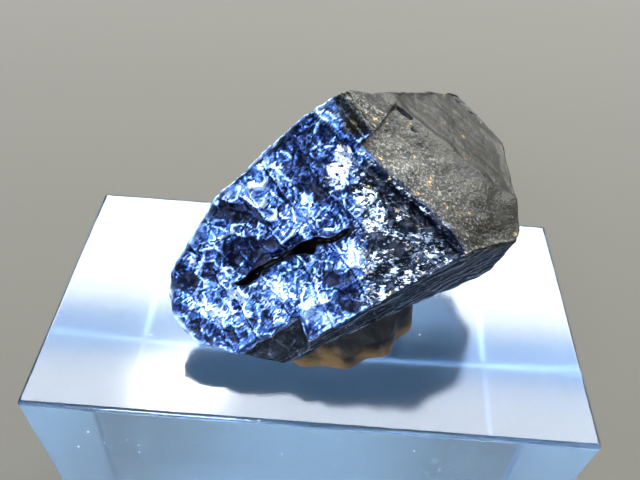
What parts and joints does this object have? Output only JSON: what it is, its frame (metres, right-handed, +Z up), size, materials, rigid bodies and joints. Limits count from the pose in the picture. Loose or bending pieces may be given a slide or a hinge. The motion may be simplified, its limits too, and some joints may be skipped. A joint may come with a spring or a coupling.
{
  "type": "mineral specimen",
  "caption": "Dark blue anatase crystal fragment, tilted and fixed with brown putty on the narrow top of a clear acrylic display block.",
  "frame": {"origin": "centre of the display block's bottom face", "axes": "+Z up, +X along the block's width to the viewer's right, -Y towards the viewer in front of the block"},
  "size_m": [0.02, 0.0117, 0.0285],
  "materials": {
    "anatase": "gloss",
    "putty": "satin",
    "clear_acrylic": "polished"
  },
  "bodies": {
    "root": {"crystal": "anatase", "mounting_putty": "putty", "display_block": "clear_acrylic"}
  },
  "joints": []
}
